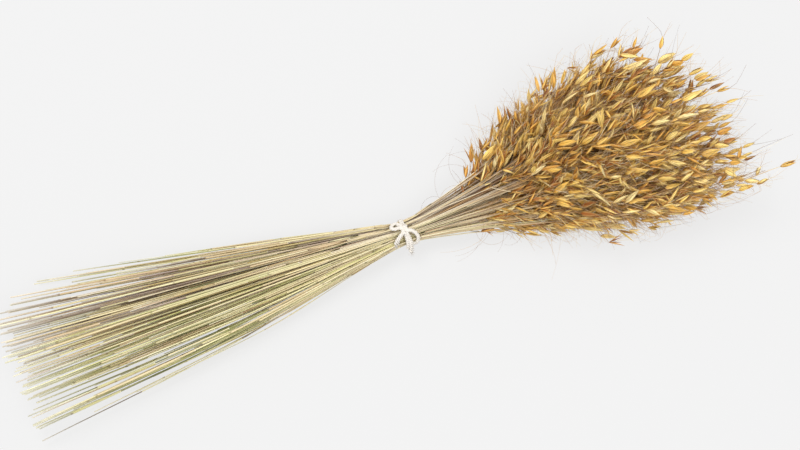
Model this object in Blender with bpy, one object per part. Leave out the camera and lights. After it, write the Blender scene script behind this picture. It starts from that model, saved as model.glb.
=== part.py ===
"""Bunch of dried king grass, tied round its middle and lying on its side.

Run with: blender --background --python part.py

The stalks lie together in locks of three. Each lock is one closed solid: three stalks side
by side where the tie holds them, parted into three stalks towards their cut ends, and
parted again into three loose heads, each with four spikelets. The tie is one length of soft
white yarn, wound round the bunch and knotted in a small bow.

Metres, +Z up, +X from the cut ends towards the heads. The origin is on the surface that the
bunch lies on, under the middle of its box. "Along" is the distance from the tie, negative
towards the cut ends.
"""
from math import atan2, cos, hypot, pi, radians, sin, sqrt
from random import Random

import bmesh
import bpy
import numpy as np
from mathutils import Vector
from mathutils.bvhtree import BVHTree

# Overall sizes of the bunch
LENGTH = 0.700              # longest cut end to furthest head tip
CUT_LENGTH = 0.363          # tie to the longest cut end
HEAD_LENGTH = LENGTH - CUT_LENGTH
WAIST_RADIUS = 0.0112       # outside of the stalks under the tie
WAIST_LIFT = 0.0075         # the waist's underside hangs this far above the surface

# Tags of a stalk's bars: its head's four, counted from the waist, then these
CUT_TAG = 4
SPIKELET_TAG = 5
TAGS = 6

# Stalks, in locks of three that pack like cells of a honeycomb under the tie
LOCKS = 43
STALKS_IN_LOCK = 3
FIRST_SEED = 7810           # the first lock's random seed, and each further lock's is the next
LOCK_SPACING = 0.0028
LOWEST_STALK = 0.90         # depth of the lowest stalks under the tie, of its radius
GAP = 0.0003
STALK_RADIUS = 0.00090
BRANCH_RADIUS = 0.00068
NEAR_RADIUS = 0.00062       # a stalk while it still lies against its neighbours
FORK = 0.013                # the three stalks of a lock part this far from the tie

# The fan of cut ends, at the longest cut end
CUT_HALF_WIDTH = 0.083
CUT_SIDE_SHIFT = 0.020
CUT_RISE = 0.037
CUT_FALL = 0.024
CUT_STRAY = 0.0050          # how far a cut end strays from its place in the fan
CUT_TRIES = 24
SHORT_SHARE = 0.28          # share of stalks that end short of the fan's edge

# The heads, where they are widest
HEAD_HALF_WIDTH = 0.084
HEAD_RISE = 0.048
HEAD_FALL = 0.036
HEAD_FLOOR = 0.0046
HEAD_STRAY = 0.0065
HEAD_TRIES = 80
HEAD_OPENS_BY = 0.230       # distance from the tie at which the heads reach full width

# Spikelets
SPIKELET_LENGTH = (0.021, 0.027)
SPIKELET_RADIUS = (0.0027, 0.0033)
SPIKELET_TRIES = 36
EDGE_LEAN = 20.0            # degrees that spikelets at the heads' sides lean further out
SPIKELET_PRESS = 0.0011     # how far the lowest ones are flattened by the surface
WIDEST_AT = 0.42            # share of a spikelet's length from its base to its widest ring

# The tie
BAND_WIDTH = 0.0034
BAND_THICKNESS = 0.0009
YARN_WIDTH = 0.0026
YARN_THICKNESS = 0.0012
KNOT_SIZE = (0.0060, 0.0056, 0.0038)

UP = Vector((0.0, 0.0, 1.0))
AHEAD = Vector((1.0, 0.0, 0.0))
SIDE = Vector((0.0, 1.0, 0.0))


def clear_scene():
    for thing in list(bpy.data.objects):
        bpy.data.objects.remove(thing, do_unlink=True)


def material(name, colour, roughness):
    finish = bpy.data.materials.new(name)
    finish.use_nodes = True
    shader = finish.node_tree.nodes["Principled BSDF"]
    shader.inputs["Base Color"].default_value = (*colour, 1.0)
    shader.inputs["Roughness"].default_value = roughness
    shader.inputs["Metallic"].default_value = 0.0
    finish.diffuse_color = (*colour, 1.0)
    return finish


def blend(a, b, share):
    return a + (b - a) * share


def eased(share):
    share = min(max(share, 0.0), 1.0)
    return share * share * (3.0 - 2.0 * share)


# Where a stalk of the bunch runs

def honeycomb(count, spacing):
    """The centres of the locks under the tie, nearest to the bunch's middle first."""
    rows = range(-4, 5)
    places = []
    for row in rows:
        for column in rows:
            across = (column + 0.5 * (row % 2)) * spacing
            places.append((across, row * spacing * sqrt(3.0) / 2.0))
    places.sort(key=lambda place: (round(hypot(*place), 7), atan2(place[1], place[0])))
    return places[:count]


def section(across, up, half_width, rise, fall):
    """A point of a cross-section that lies on a surface: round above, flattened below.

    across and up are shares of the waist's radius, and the result is a sideways distance
    and a height over the section's lowest point.
    """
    if up >= 0.0:
        return half_width * across, fall + rise * up
    reach_down = max(sqrt(max(1.0 - across * across, 0.0)), 0.45)
    depth = (-up / reach_down) * (1.0 - min(abs(across), 1.0) ** 4) ** 0.25
    return half_width * across, fall * (1.0 - min(depth / LOWEST_STALK, 1.0))


def waist_point(across, up):
    middle = WAIST_LIFT + WAIST_RADIUS
    return Vector((0.0, across * WAIST_RADIUS, middle + up * WAIST_RADIUS))


def bend(along):
    """Distance from the tie, rounded off where a stalk bends under the tie."""
    soft = 0.012
    return sqrt(along * along + soft * soft) - soft


def cut_side_point(across, up, along):
    sideways, height = section(across, up, CUT_HALF_WIDTH, CUT_RISE, CUT_FALL)
    end = Vector((0.0, sideways + CUT_SIDE_SHIFT, height + STALK_RADIUS * 0.8))
    point = waist_point(across, up).lerp(end, bend(along) / bend(CUT_LENGTH))
    point.x = along
    return point


def head_side_point(across, up, along):
    sideways, height = section(across, up, HEAD_HALF_WIDTH, HEAD_RISE, HEAD_FALL)
    end = Vector((0.0, sideways, height + HEAD_FLOOR))
    share = 0.25 * bend(along) / HEAD_OPENS_BY + 0.75 * eased(along / HEAD_OPENS_BY)
    point = waist_point(across, up).lerp(end, min(share, 1.0))
    point.x = along
    return point


# Room that stalks and spikelets keep from each other

class Room:
    """Round-ended bars and balls already in the bunch, and how near a new one comes."""

    def __init__(self):
        most = 6000
        self.count = 0
        self.starts = np.zeros((most, 3))
        self.ends = np.zeros((most, 3))
        self.radii = np.zeros(most)
        self.tags = np.full(most, -1)

    def take(self, start, end, radius, tag):
        self.starts[self.count] = start
        self.ends[self.count] = end
        self.radii[self.count] = radius
        self.tags[self.count] = tag
        self.count += 1

    def clearance(self, start, end, radius, ignored=()):
        """The smallest gap between a new bar and those whose tags aren't ignored."""
        taken = slice(0, self.count)
        reach = bar_distances(np.array(start), np.array(end), self.starts[taken],
                              self.ends[taken]) - self.radii[taken]
        reach = np.where(np.isin(self.tags[taken], ignored), 1.0, reach)
        return float(reach.min(initial=1.0)) - radius


def bar_distances(start, end, starts, ends):
    """Distances from one straight line piece to many."""
    tiny = 1e-12
    run = end - start
    runs = ends - starts
    between = start - starts
    run_run = float(run @ run) + tiny
    runs_runs = np.einsum("ij,ij->i", runs, runs) + tiny
    runs_between = np.einsum("ij,ij->i", runs, between)
    run_between = between @ run
    run_runs = runs @ run
    spread = run_run * runs_runs - run_runs * run_runs
    here = np.where(spread > tiny * tiny, run_runs * runs_between - run_between * runs_runs, 0.0)
    here = np.clip(here / np.maximum(spread, tiny * tiny), 0.0, 1.0)
    there = (run_runs * here + runs_between) / runs_runs
    before = np.clip(-run_between / run_run, 0.0, 1.0)
    after = np.clip((run_runs - run_between) / run_run, 0.0, 1.0)
    here = np.where(there < 0.0, before, np.where(there > 1.0, after, here))
    there = np.clip(there, 0.0, 1.0)
    gap = between + run[None, :] * here[:, None] - runs * there[:, None]
    return np.sqrt(np.einsum("ij,ij->i", gap, gap))


# Building blocks of a lock's mesh. A loop is a list of vertices, anticlockwise as seen by
# someone whom the stalk grows towards.

def middle_of(loop):
    return sum((corner.co for corner in loop), Vector()) / len(loop)


def across_axes(direction):
    first = (SIDE - direction * SIDE.dot(direction)).normalized()
    return first, direction.cross(first)


def grow(mesh, loop, centre, direction, radius, turn=0.0):
    """Add a ring round centre, matched to the loop that it grows from, and its sides."""
    first, second = across_axes(direction)
    base = middle_of(loop)
    step = 2.0 * pi / len(loop)
    angles = [atan2((c.co - base).dot(second), (c.co - base).dot(first)) for c in loop]
    pull = [(cos(a - i * step), sin(a - i * step)) for i, a in enumerate(angles)]
    start = atan2(sum(p[1] for p in pull), sum(p[0] for p in pull)) + turn
    ring = []
    for i in range(len(loop)):
        angle = start + i * step
        offset = first * cos(angle) + second * sin(angle)
        ring.append(mesh.verts.new(centre + offset * radius))
    for i in range(len(loop)):
        after = (i + 1) % len(loop)
        mesh.faces.new((loop[i], loop[after], ring[after], ring[i]))
    return ring


def grow_tip(mesh, loop, tip):
    point = mesh.verts.new(tip)
    for i in range(len(loop)):
        mesh.faces.new((loop[i], loop[(i + 1) % len(loop)], point))
    return point


def fork_in_three(mesh, loop, ahead):
    """Part a loop of three or six corners into three, round a new point at its middle."""
    centre = mesh.verts.new(middle_of(loop) + ahead)
    stride = len(loop) // 3
    parts = []
    for start in range(0, len(loop), stride):
        rim = [loop[(start + i) % len(loop)] for i in range(stride + 1)]
        parts.append([centre, *rim])
    return parts


def fork_in_two(loop, turned):
    """Part a loop of four corners along one of its diagonals."""
    a, b, c, d = loop[turned:] + loop[:turned]
    return [a, b, c], [c, d, a]


def outward(part, parent_middle, direction):
    """The sideways direction in which a part of a forked loop lies."""
    away = middle_of(part) - parent_middle
    away -= direction * away.dot(direction)
    return away.normalized()


# Spikelets

def spikelet_bars(base, direction, length, radius):
    """Balls and bars that stand for a spikelet when room is sought for it."""
    full = 0.95
    stations = ((0.14, 0.33), (0.28, 0.67), (WIDEST_AT, 1.0), (0.62, 0.72), (0.82, 0.4))
    return [(base + direction * length * share, radius * size * full)
            for share, size in stations]


def place_spikelet(lock, stalk, part, parent_middle, heading, beside_it):
    """Grow one spikelet from a part of a fork, turned to where it has room.

    beside_it holds the tags of the stalk's own bars that meet at the fork.
    """
    chance = stalk.chance
    away = outward(part, parent_middle, heading)
    beside = heading.cross(away)
    on_edge = min(max(2.0 * abs(stalk.across) - 0.8, 0.0), 1.0)

    def lean_out(_):
        lean = radians(chance.uniform(17.0, 34.0) + EDGE_LEAN * on_edge)
        swing = radians(chance.uniform(-30.0, 30.0))
        lateral = away * cos(swing) + beside * sin(swing)
        return heading * cos(lean) + lateral * sin(lean)

    fit_spikelet(lock, stalk, part, lean_out, beside_it, radians(60.0))


def end_spikelet(lock, stalk, ring, heading):
    """The spikelet that ends a head, in line with its branch or a little off it."""

    def stray_from(attempt):
        stray = 0.16 if attempt else 0.0
        chance = stalk.chance
        return heading + SIDE * chance.gauss(0.0, stray) + UP * chance.gauss(0.0, stray)

    fit_spikelet(lock, stalk, ring, stray_from, [stalk.tag(3)], 0.0)


def fit_spikelet(lock, stalk, loop, choose_direction, beside_it, turn):
    """Try directions and ever smaller sizes for a spikelet, and grow the one that fits."""
    base = middle_of(loop)
    best = None
    for attempt in range(SPIKELET_TRIES):
        shrink = 1.0 - 0.5 * attempt / SPIKELET_TRIES
        length = stalk.chance.uniform(*SPIKELET_LENGTH) * shrink
        radius = stalk.chance.uniform(*SPIKELET_RADIUS) * shrink
        direction = choose_direction(attempt).normalized()
        bars = spikelet_bars(base, direction, length, radius)
        free = free_space(lock.room, bars, beside_it)
        if best is None or free > best[0]:
            best = (free, direction, length, radius, bars)
        if free > GAP:
            break
    _, direction, length, radius, bars = best
    for at, size in bars:
        lock.room.take(at, at, size, stalk.tag(SPIKELET_TAG))
    ring = grow(lock.mesh, loop, base + direction * length * WIDEST_AT, direction, radius, turn)
    tip = grow_tip(lock.mesh, ring, base + direction * length)
    lock.add_spikelet(base, [*ring, tip])


def free_space(room, bars, beside_it):
    """How far a spikelet clears its neighbours, and the surface but for a slight press."""
    free = min(at.z - size for at, size in bars) + SPIKELET_PRESS
    near, far = bars[:2], bars[2:]
    for at, size in near:
        free = min(free, room.clearance(at, at, size, beside_it))
    for at, size in far:
        free = min(free, room.clearance(at, at, size))
    return free


# Stalks

class Stalk:
    """One stalk's place in the bunch and the points that it runs through."""

    def __init__(self, number, lock, across, up, chance):
        self.number = number
        self.lock = lock
        self.across = across
        self.up = up
        self.chance = chance
        self.fork_cut = waist_point(across, up) - AHEAD * FORK
        self.fork_head = waist_point(across, up) + AHEAD * FORK
        self.cut_end = None
        self.joints = []

    def cut_reach(self):
        """How far from the tie this stalk's cut end is."""
        uneven = 1.0 - 0.035 * self.chance.random()
        if self.across > 0.45:
            uneven -= 0.30 * eased((self.across - 0.45) / 0.6) * self.chance.uniform(0.5, 1.2)
        if self.chance.random() < SHORT_SHARE:
            uneven *= self.chance.uniform(0.62, 0.93)
        return CUT_LENGTH * uneven

    def tag(self, piece):
        return self.number * TAGS + piece

    def lock_tags(self):
        first = self.lock * STALKS_IN_LOCK * TAGS
        return range(first, first + STALKS_IN_LOCK * TAGS)

    def settle_cut_end(self, room):
        reach = self.cut_reach()
        best = None
        for attempt in range(CUT_TRIES):
            stray = CUT_STRAY * (1.0 - attempt / CUT_TRIES)
            end = cut_side_point(self.across, self.up, -reach)
            end.y += self.chance.uniform(-stray, stray)
            end.z += self.chance.uniform(-stray, stray) * 0.45
            end.z = max(end.z, STALK_RADIUS * 0.75)
            free, bars = self.bars_along(room, [self.fork_cut, end], 0.16, STALK_RADIUS * 0.85)
            if best is None or free > best[0]:
                best = (free, bars, end)
            if free > GAP:
                break
        _, bars, self.cut_end = best
        for bar in bars:
            room.take(*bar, self.tag(CUT_TAG))

    def bars_along(self, room, points, near_share, radius):
        """Bars for a stalk that leaves the waist, and how much room they have.

        Near the waist it lies against its lock's other two stalks, so those may come
        nearer there than the stalks of other locks.
        """
        parting = points[0].lerp(points[1], near_share)
        near = (points[0].lerp(points[1], 0.03), parting, NEAR_RADIUS)
        far = [(a, b, radius) for a, b in zip([parting, *points[1:-1]], points[1:])]
        free = room.clearance(*near, list(self.lock_tags()))
        apart = points[0].lerp(points[1], near_share / 3.0)
        free = min(free, room.clearance(apart, parting, NEAR_RADIUS * 0.8))
        free = min([free] + [room.clearance(*bar) for bar in far])
        return free, [near, *far]

    def head_stations(self):
        """Distances from the tie to the head's two forks and to its last spikelet."""
        last_reach = head_reach(self.across) * self.chance.uniform(0.74, 1.0)
        if self.chance.random() < 0.34:
            last_reach = self.chance.uniform(0.170, 0.250)
        last = last_reach - SPIKELET_LENGTH[1]
        first = self.chance.uniform(0.058, 0.120) + 0.05 * max(0.0, last - 0.2) / 0.1
        middle = blend(first, last, self.chance.uniform(0.42, 0.60))
        return first, middle, last

    def settle_head(self, room):
        best = None
        for attempt in range(HEAD_TRIES):
            stray = HEAD_STRAY * (1.0 - attempt / HEAD_TRIES)
            joints = [self.fork_head]
            for along in self.head_stations():
                joint = head_side_point(self.across, self.up, along)
                stray_here = stray * min(1.0, (along / 0.19) ** 2)
                joint.y += self.chance.uniform(-stray_here, stray_here)
                joint.z += self.chance.uniform(-stray_here, stray_here) * 0.6
                joint.z = max(joint.z, HEAD_FLOOR * 0.8)
                joints.append(joint)
            free, bars = self.bars_along(room, joints, 0.3, BRANCH_RADIUS)
            if best is None or free > best[0]:
                best = (free, bars, joints)
            if free > GAP:
                break
        _, bars, self.joints = best
        for piece, bar in enumerate(bars):
            room.take(*bar, self.tag(piece))


def head_reach(across):
    """How far the heads reach, from one side of the bunch to the other."""
    return HEAD_LENGTH * (0.945 - 0.10 * eased((across - 0.35) / 0.6) + 0.03 * eased(-across))


def lay_out_stalks():
    """Every lock's centre and its three stalks."""
    locks = []
    number = 0
    for lock, (across, up) in enumerate(honeycomb(LOCKS, LOCK_SPACING)):
        chance = Random(FIRST_SEED + lock)
        stalks = []
        for third in range(STALKS_IN_LOCK):
            angle = radians(90.0 + 120.0 * third)
            offset = LOCK_SPACING * 0.27
            a = (across + offset * cos(angle)) / WAIST_RADIUS
            u = (up + offset * sin(angle)) / WAIST_RADIUS
            stalks.append(Stalk(number, lock, a, u, chance))
            number += 1
        locks.append(((across / WAIST_RADIUS, up / WAIST_RADIUS), stalks))
    return locks


def reach_full_length(layout):
    """Give the longest stalk the bunch's full length at both of its ends."""
    stalks = [stalk for _, group in layout for stalk in group]
    longest = min(stalks, key=lambda stalk: stalk.cut_end.x)
    longest.cut_end.x = -CUT_LENGTH
    furthest = max(stalks, key=lambda stalk: stalk.joints[-1].x)
    furthest.joints[-1].x = HEAD_LENGTH - SPIKELET_LENGTH[1]


def reach_last_tip(locks):
    """Draw the furthest spikelet's tip out to the bunch's full length."""
    tips = [corners[-1] for lock in locks for _, corners in lock.spikelets]
    max(tips, key=lambda tip: tip.co.x).co.x = HEAD_LENGTH


# Locks

class Lock:
    """The mesh of three stalks, and which of its corners belong to which spikelet."""

    def __init__(self, number, room):
        self.name = f"stalks_{number + 1:02d}"
        self.number = number
        self.room = room
        self.mesh = bmesh.new()
        self.spikelets = []
        self.spikelet_of = {}

    def add_spikelet(self, base, corners):
        for corner in corners:
            self.spikelet_of[corner] = len(self.spikelets)
        self.spikelets.append((base, corners))

    def spikelet_at(self, face_index):
        """The number of the spikelet that a face is part of, or None on a stalk."""
        numbers = [self.spikelet_of.get(corner) for corner in self.mesh.faces[face_index].verts]
        return next((number for number in numbers if number is not None), None)

    def shrink(self, number):
        """Make a spikelet a little shorter and more slender, towards its base."""
        base, (*ring, tip) = self.spikelets[number]
        centre = middle_of(ring)
        shorter = (base - centre) * 0.12
        for corner in ring:
            corner.co = centre.lerp(corner.co, 0.74) + shorter
        tip.co = base.lerp(tip.co, 0.88)

    def tree(self, margin):
        self.mesh.faces.ensure_lookup_table()
        return BVHTree.FromBMesh(self.mesh, epsilon=margin)


def trunk_ring(mesh, centre):
    """Six corners of the stalks held together, a cell of the honeycomb less the gap."""
    radius = (LOCK_SPACING - GAP) / sqrt(3.0)
    ring = []
    for corner in range(6):
        angle = radians(30.0 + 60.0 * corner)
        offset = SIDE * radius * cos(angle) + UP * radius * sin(angle)
        ring.append(mesh.verts.new(centre + offset))
    return ring


def bridge(mesh, ring, other):
    for i in range(len(ring)):
        after = (i + 1) % len(ring)
        mesh.faces.new((ring[i], ring[after], other[after], other[i]))


def grow_cut_ends(lock, ring, stalks):
    """Three stalks from the waist back to their cut ends."""
    corners = list(reversed(ring))
    corners = corners[3:] + corners[:3]
    first, second, third = stalks
    parts = fork_in_three(lock.mesh, corners, -AHEAD * GAP)
    for part, stalk in zip(parts, (first, third, second)):
        direction = (stalk.cut_end - middle_of(part)).normalized()
        end = grow(lock.mesh, part, stalk.cut_end, direction, STALK_RADIUS)
        lock.mesh.faces.new(end)


def grow_head(lock, part, stalk):
    """A stalk from the waist to its head's last spikelet, with three others on the way."""
    _, first, middle, last = stalk.joints
    mesh = lock.mesh
    heading = (first - middle_of(part)).normalized()
    ring = grow(mesh, part, first, heading, BRANCH_RADIUS * 1.15)
    heading = (middle - first).normalized()
    outer, inner = pick_outer(fork_in_two(ring, stalk.chance.randrange(2)), stalk, heading)
    place_spikelet(lock, stalk, outer, first, heading, [stalk.tag(1), stalk.tag(2)])
    ring = grow(mesh, inner, middle, heading, BRANCH_RADIUS)
    heading = (last - middle).normalized()
    parts = fork_in_three(mesh, ring, heading * GAP)
    branch = parts.pop(stalk.chance.randrange(3))
    for side_part in parts:
        place_spikelet(lock, stalk, side_part, middle, heading, [stalk.tag(2), stalk.tag(3)])
    ring = grow(mesh, branch, last, heading, BRANCH_RADIUS * 0.7)
    end_spikelet(lock, stalk, ring, heading)


def pick_outer(parts, stalk, heading):
    """Of two parts of a fork, first the one on the outside of the bunch."""
    away = SIDE * stalk.across + UP * stalk.up
    middle = sum((middle_of(part) for part in parts), Vector()) / 2.0
    first, second = parts
    if outward(first, middle, heading).dot(away) < outward(second, middle, heading).dot(away):
        first, second = second, first
    return first, second


def model_lock(number, place, stalks, room):
    lock = Lock(number, room)
    centre = waist_point(*place)
    behind = trunk_ring(lock.mesh, centre - AHEAD * FORK)
    ahead = trunk_ring(lock.mesh, centre + AHEAD * FORK)
    bridge(lock.mesh, behind, ahead)
    for part, stalk in zip(fork_in_three(lock.mesh, ahead, AHEAD * GAP), stalks):
        grow_head(lock, part, stalk)
    grow_cut_ends(lock, behind, stalks)
    bmesh.ops.triangulate(lock.mesh, faces=lock.mesh.faces)
    press_on_surface(lock.mesh)
    return lock


def press_on_surface(mesh):
    """Flatten what would sink into the surface that the bunch lies on."""
    for corner in mesh.verts:
        corner.co.z = max(corner.co.z, 0.0)


def touching_spikelets(locks):
    """Spikelets that touch another lock, or another piece of their own."""
    touching = set()
    trees = [lock.tree(GAP / 2.0) for lock in locks]
    for i, lock in enumerate(locks):
        for other, tree in zip(locks[:i], trees[:i]):
            for face, other_face in trees[i].overlap(tree):
                touching.add((lock, lock.spikelet_at(face)))
                touching.add((other, other.spikelet_at(other_face)))
        own_tree = lock.tree(0.0)
        for face, other_face in own_tree.overlap(own_tree):
            corners = set(lock.mesh.faces[face].verts)
            if corners.isdisjoint(lock.mesh.faces[other_face].verts):
                touching.add((lock, lock.spikelet_at(face)))
    return [(lock, number) for lock, number in touching if number is not None]


def open_gaps(locks):
    """Shrink spikelets that touch a neighbour, a little at a time, until none does."""
    for _ in range(12):
        touching = touching_spikelets(locks)
        if not touching:
            break
        for lock, number in touching:
            lock.shrink(number)


def add_object(name, mesh, materials, shift):
    bmesh.ops.recalc_face_normals(mesh, faces=mesh.faces)
    data = bpy.data.meshes.new(name)
    mesh.to_mesh(data)
    mesh.free()
    for finish in materials:
        data.materials.append(finish)
    thing = bpy.data.objects.new(name, data)
    thing.location = shift
    bpy.context.scene.collection.objects.link(thing)
    return thing


def finish_lock(lock, ears, shift):
    """Turn a lock's mesh into an object, with the ears' material on its spikelets."""
    lock.mesh.faces.ensure_lookup_table()
    for face in lock.mesh.faces:
        face.material_index = 0 if lock.spikelet_at(face.index) is None else 1
    add_object(lock.name, lock.mesh, [straw_material(lock.number), ears], shift)


def straw_material(number):
    tones = ((0.42, 0.36, 0.14), (0.50, 0.40, 0.19), (0.40, 0.29, 0.17), (0.33, 0.33, 0.14))
    return material(f"straw {number + 1:02d}", tones[number % len(tones)], 0.6)


# The tie

def round_waist(along, angle, lift):
    """A point beside the waist: angle from the top towards +Y, lift from the stalks."""
    radius = WAIST_RADIUS + GAP + lift
    middle = WAIST_LIFT + WAIST_RADIUS
    turn = radians(angle)
    return Vector((along, radius * sin(turn), middle + radius * cos(turn)))


def ribbon(name, points, closed=False, width=YARN_WIDTH, thickness=YARN_THICKNESS):
    """A strip of yarn with a four-cornered section that follows a smooth path."""
    mesh = bmesh.new()
    rings = []
    count = len(points)
    for i, point in enumerate(points):
        before = points[i - 1] if i or closed else point
        after = points[(i + 1) % count] if i + 1 < count or closed else point
        heading = (after - before).normalized()
        middle = Vector((point.x, 0.0, WAIST_LIFT + WAIST_RADIUS))
        away = point - middle
        away = (away - heading * away.dot(heading)).normalized()
        flank = heading.cross(away)
        corners = ((1, 1), (1, -1), (-1, -1), (-1, 1))
        ring = [mesh.verts.new(point + flank * (a * width / 2) + away * (b * thickness / 2))
                for a, b in corners]
        rings.append(ring)
    for ring, other in zip(rings[:-1], rings[1:]):
        bridge(mesh, ring, other)
    if closed:
        bridge(mesh, rings[-1], rings[0])
    else:
        mesh.faces.new(rings[0])
        mesh.faces.new(rings[-1])
    return add_object(name, mesh, [], Vector())


def curved(points, steps):
    """Points on a smooth curve through the given ones."""
    padded = [points[0] * 2.0 - points[1], *points, points[-1] * 2.0 - points[-2]]
    result = []
    for i in range(1, len(padded) - 2):
        a, b, c, d = padded[i - 1:i + 3]
        for step in range(steps):
            t = step / steps
            result.append(0.5 * (2.0 * b + (c - a) * t + (2.0 * a - 5.0 * b + 4.0 * c - d) * t * t
                                 + (3.0 * b - a - 3.0 * c + d) * t ** 3))
    result.append(points[-1])
    return result


def make_band():
    steps = 22
    lift = BAND_THICKNESS / 2
    ring = [round_waist(0.0, 360.0 * i / steps, lift) for i in range(steps)]
    return ribbon("tie", ring, True, BAND_WIDTH, BAND_THICKNESS)


def make_knot():
    mesh = bmesh.new()
    bmesh.ops.create_icosphere(mesh, subdivisions=2, radius=1.0)
    for corner in mesh.verts:
        corner.co = corner.co * Vector(KNOT_SIZE) / 2.0 + round_waist(0.0, 3.0, 0.0021)
    return add_object("knot", mesh, [], Vector())


def make_bow():
    """Two loops and three loose ends, each from the knot over the stalks' upper side.

    The points are millimetres along the bunch, degrees from its top towards +Y, and
    millimetres off the stalks.
    """
    routes = {
        "loop_back": ((-0.5, 4, 2.9), (-4.6, 12, 3.1), (-10.0, 15, 2.7), (-12.6, 29, 2.1),
                      (-9.5, 43, 2.1), (-5.0, 40, 2.6), (-2.0, 22, 2.9), (-0.2, 8, 3.3)),
        "loop_front": ((0.5, -2, 3.1), (4.8, -8, 3.1), (8.3, -24, 2.7), (9.2, -46, 2.2),
                       (6.2, -66, 2.1), (2.8, -56, 2.6), (1.2, -30, 2.9), (0.2, -8, 3.3)),
        "end_side": ((1.0, -14, 3.3), (1.2, -50, 3.7), (-0.5, -76, 5.9), (-3.2, -92, 10.1)),
        "end_middle": ((-0.3, -8, 3.1), (-0.6, -36, 3.5), (-2.4, -62, 3.7), (-2.2, -84, 5.7)),
        "end_back": ((-0.6, -4, 2.9), (-4.4, -12, 2.7), (-8.6, -26, 2.3), (-11.4, -42, 2.2)),
    }
    pieces = []
    for name, route in routes.items():
        points = [round_waist(a / 1000.0, angle, lift / 1000.0) for a, angle, lift in route]
        pieces.append(ribbon(name, curved(points, 2 if "loop" in name else 1)))
    return pieces


def make_tie(shift):
    """The band, with its knot, loops and loose ends joined to it in one closed solid."""
    tie = make_band()
    for piece in [make_knot(), *make_bow()]:
        piece.hide_render = True
        piece.display_type = "WIRE"
        piece.location = shift
        join = tie.modifiers.new(piece.name, "BOOLEAN")
        join.operation = "UNION"
        join.solver = "EXACT"
        join.use_self = True
        join.object = piece
    tie.location = shift
    tie.data.materials.append(material("white yarn", (0.86, 0.83, 0.76), 0.8))
    tie.data.shade_smooth()
    tie.data.set_sharp_from_angle(angle=radians(50.0))


def box_shift(locks):
    """The move that brings the middle of the bunch's box over the origin."""
    corners = [corner.co for lock in locks for corner in lock.mesh.verts]
    middle_x = (min(c.x for c in corners) + max(c.x for c in corners)) / 2.0
    middle_y = (min(c.y for c in corners) + max(c.y for c in corners)) / 2.0
    return Vector((-middle_x, -middle_y, 0.0))


def main():
    clear_scene()
    ears = material("golden ears", (0.52, 0.28, 0.07), 0.55)
    room = Room()
    layout = lay_out_stalks()
    for _, stalks in layout:
        for stalk in stalks:
            stalk.settle_cut_end(room)
            stalk.settle_head(room)
    reach_full_length(layout)
    locks = [model_lock(number, place, stalks, room)
             for number, (place, stalks) in enumerate(layout)]
    open_gaps(locks)
    reach_last_tip(locks)
    shift = box_shift(locks)
    for lock in locks:
        finish_lock(lock, ears, shift)
    make_tie(shift)


main()
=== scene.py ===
"""Looks of a bunch of dried king grass, tied round its middle and lying on its side.

Each lock of the CAD model is read back as three stalks with four spikelets each, and a real
stalk, head and spikelets are grown on those places: a hollow culm with its nodes and papery
sheaths, a loose head of fine branches, and spikelets with two husks, florets and bristles.
Thinner stalks fill the bunch between them. The tie is spun yarn that follows the CAD tie's
routes, with two of its ends a little shorter.

Metres, +Z up, +X from the cut ends towards the heads.
"""
from collections import namedtuple
from math import cos, pi, radians, sin

import bpy
import numpy as np
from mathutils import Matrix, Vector


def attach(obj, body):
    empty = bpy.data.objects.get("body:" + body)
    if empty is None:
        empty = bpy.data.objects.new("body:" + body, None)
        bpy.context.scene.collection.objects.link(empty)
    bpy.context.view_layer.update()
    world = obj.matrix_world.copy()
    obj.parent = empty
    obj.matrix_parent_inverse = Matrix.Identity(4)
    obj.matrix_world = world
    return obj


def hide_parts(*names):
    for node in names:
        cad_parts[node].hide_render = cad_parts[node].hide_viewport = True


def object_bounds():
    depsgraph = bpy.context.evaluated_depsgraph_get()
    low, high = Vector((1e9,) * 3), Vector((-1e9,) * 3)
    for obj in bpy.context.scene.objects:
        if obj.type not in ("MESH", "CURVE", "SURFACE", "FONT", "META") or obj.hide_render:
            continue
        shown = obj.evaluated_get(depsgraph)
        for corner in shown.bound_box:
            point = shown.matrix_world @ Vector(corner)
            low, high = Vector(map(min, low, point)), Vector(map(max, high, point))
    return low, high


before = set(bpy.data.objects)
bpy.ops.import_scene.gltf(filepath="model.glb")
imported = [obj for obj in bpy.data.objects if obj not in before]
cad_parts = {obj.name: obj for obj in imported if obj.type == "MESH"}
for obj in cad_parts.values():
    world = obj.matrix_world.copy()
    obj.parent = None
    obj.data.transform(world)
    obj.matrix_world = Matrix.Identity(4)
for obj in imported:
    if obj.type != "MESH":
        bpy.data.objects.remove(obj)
cad_low, cad_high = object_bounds()

# Places that the CAD model uses
TIE_X = 0.0130633           # the tie's place in the frame
TIE_Y = -0.0029356
WAIST_RADIUS = 0.0112
WAIST_LIFT = 0.0075
GAP = 0.0003
FORK = 0.013

GRASS_SEED = 900            # start of the random draws, and one more for each piece
TIE_SEED = 51

LOCKS_IN_PIECE = 4
THIN_STALKS = 4             # thinner stalks that a lock has besides the CAD model's three
HEAD_SPIKELETS = 15         # spikelets of a head besides the CAD model's four
THIN_HEAD_SPIKELETS = 6
LOOSE_SPIKELETS = 2         # more of them, on long branches, where a head is at the edge

# Radii of the round strips
CULM_RADII = (0.00046, 0.00072)
THIN_CULM_RADII = (0.00032, 0.00052)
BRANCH_RADII = (0.00032, 0.00020)       # at the stalk and at the spikelet
BRISTLE_RADIUS = 0.00016
DARK_BRISTLE_RADIUS = 0.00018
HAIR_RADIUS = 0.00011
STRAY_HAIR_RADIUS = 0.00010
FRAY_RADIUS = 0.00020
FUZZ_RADIUS = 0.00004

# Heights above the surface that points are lifted to
LOWEST = 0.0001
LOWEST_FIBRE = 0.0003
LOWEST_HAIR = 0.0004
LOWEST_TIP = 0.0016

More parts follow.
